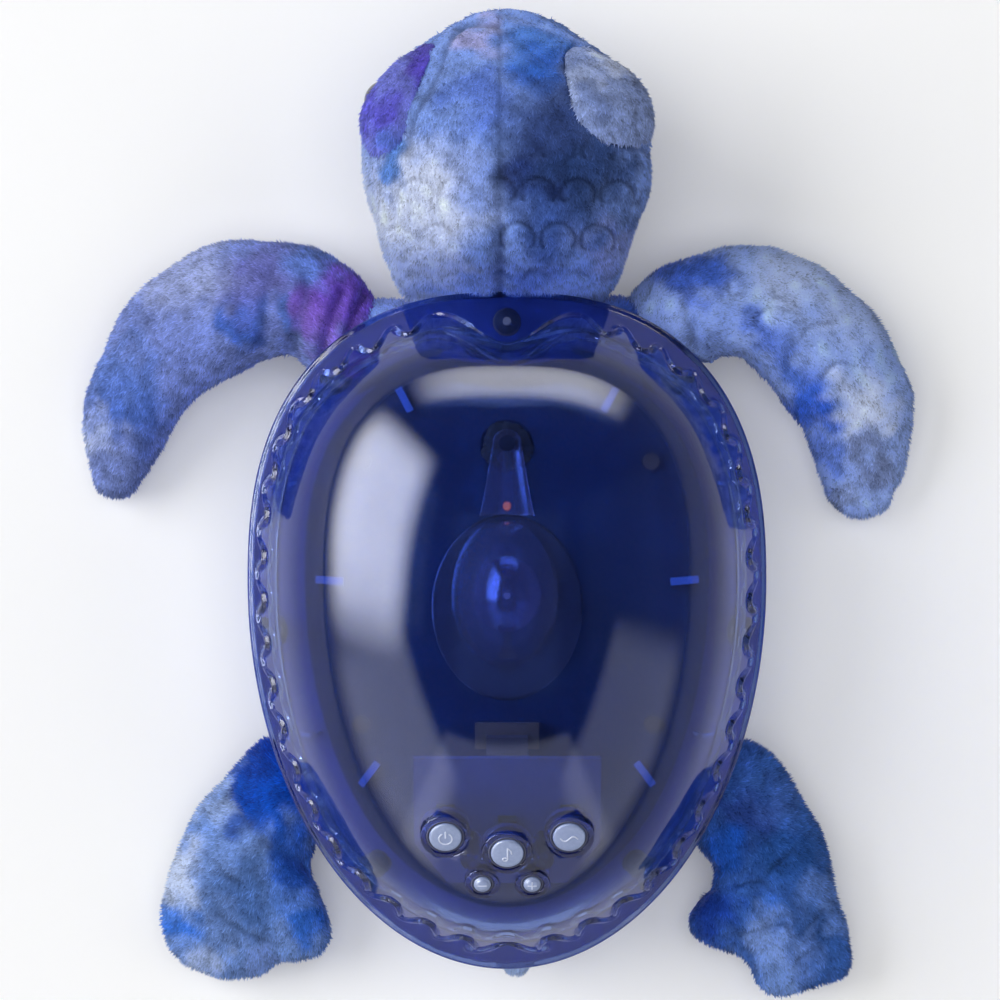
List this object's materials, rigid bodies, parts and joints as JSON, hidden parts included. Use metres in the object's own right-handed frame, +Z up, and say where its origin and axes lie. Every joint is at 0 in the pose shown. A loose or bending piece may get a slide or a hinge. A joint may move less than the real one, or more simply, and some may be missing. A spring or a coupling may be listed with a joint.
{
  "type": "turtle night light projector",
  "caption": "Stuffed turtle with a clear blue domed shell that covers a ripple light projector, a speaker and push buttons.",
  "frame": {"origin": "on the floor under the middle of the shell, on the flat underside of the base", "axes": "+Y towards the head, +Z up, +X to the right side of the picture"},
  "size_m": [0.2911, 0.345, 0.129],
  "materials": {
    "plush": "short brushed pile, mottled blue",
    "plush_pale": "short brushed pile, pale grey blue",
    "plush_violet": "short brushed pile, violet",
    "eye": "polished black",
    "shell": "clear moulded, blue",
    "hood": "clear moulded, pale blue",
    "base": "moulded, blue",
    "deck": "moulded, navy",
    "bar": "clear pale blue",
    "screw": "black oxide",
    "steel": "plain",
    "brass": "turned",
    "button": "moulded, pale grey blue",
    "white": "moulded, white",
    "board": "pale solder mask",
    "board_green": "green solder mask",
    "black": "moulded, black",
    "foam": "black foam",
    "tan": "moulded, tan",
    "emitter": "clear epoxy",
    "amber": "clear amber epoxy",
    "cell": "printed jacket, plain",
    "lead": "insulation"
  },
  "bodies": {
    "turtle": {"plush_body": "plush", "head": "plush", "eyelid_left": "plush_violet", "eyelid_right": "plush_pale", "eyes": "eye", "front_left_flipper": "plush", "front_right_flipper": "plush", "rear_left_flipper": "plush", "rear_right_flipper": "plush", "tail": "plush_pale", "shell_dome": "shell", "base_housing": "base", "shell_screws": "screw", "deck_plate": "deck", "deck_screws": "screw", "light_bars": "bar", "projector_hood": "hood", "hood_pad": "foam", "hood_screw": "screw", "indicator_light": "amber", "light_board": "white", "light_emitters": "emitter", "reflector_cup": "white", "spindle_bushes": "brass", "gear_bracket": "steel", "motor_can": "steel", "motor_end_cap": "black", "small_screws": "screw", "button_board": "board", "tact_switches": "black", "cable_socket": "tan", "button_cable": "white", "main_board": "board_green", "board_chips": "black", "speaker_basket": "steel", "speaker_magnet": "black", "speaker_cone": "black", "speaker_gasket": "foam", "battery_cells": "cell", "battery_contacts": "steel", "battery_lead": "lead", "motor_lead": "lead", "speaker_lead": "black"},
    "power_key": {"power_button": "button", "power_plunger": "white"},
    "sound_key": {"sound_button": "button", "sound_plunger": "white"},
    "wave_key": {"wave_button": "button", "wave_plunger": "white"},
    "less_key": {"less_button": "button", "less_plunger": "white"},
    "more_key": {"more_button": "button", "more_plunger": "white"},
    "wheel": {"ripple_wheel": "hood", "wheel_spindle": "steel", "spindle_gear": "white"},
    "rotor": {"motor_shaft": "steel", "motor_pinion": "brass"},
    "door": {"battery_door": "base", "door_screws": "steel"}
  },
  "joints": [
    {"name": "power_press", "type": "slide", "parent": "turtle", "child": "power_key", "axis": [0, 0.5168, -0.8561], "range_m": [0, 0.0008], "stiffness_N_per_m": 1500, "springref_m": -0.0003},
    {"name": "sound_press", "type": "slide", "parent": "turtle", "child": "sound_key", "axis": [0, 0.5168, -0.8561], "range_m": [0, 0.0008], "stiffness_N_per_m": 1500, "springref_m": -0.0003},
    {"name": "wave_press", "type": "slide", "parent": "turtle", "child": "wave_key", "axis": [0, 0.5168, -0.8561], "range_m": [0, 0.0008], "stiffness_N_per_m": 1500, "springref_m": -0.0003},
    {"name": "less_press", "type": "slide", "parent": "turtle", "child": "less_key", "axis": [0, 0.5168, -0.8561], "range_m": [0, 0.0008], "stiffness_N_per_m": 1500, "springref_m": -0.0003},
    {"name": "more_press", "type": "slide", "parent": "turtle", "child": "more_key", "axis": [0, 0.5168, -0.8561], "range_m": [0, 0.0008], "stiffness_N_per_m": 1500, "springref_m": -0.0003},
    {"name": "wheel_spin", "type": "hinge", "parent": "turtle", "child": "wheel", "pos_m": [0, 0.0125, 0.05], "axis": [0, 0, 1], "continuous": true},
    {"name": "rotor_spin", "type": "hinge", "parent": "turtle", "child": "rotor", "pos_m": [0, -0.0056, 0.04], "axis": [0, 0, 1], "continuous": true},
    {"name": "door_lift", "type": "slide", "parent": "turtle", "child": "door", "axis": [0, 0, -1], "range_m": [0, 0.012]}
  ],
  "couplings": [
    {"joint": "rotor_spin", "follows": "wheel_spin", "ratio": -4}
  ]
}
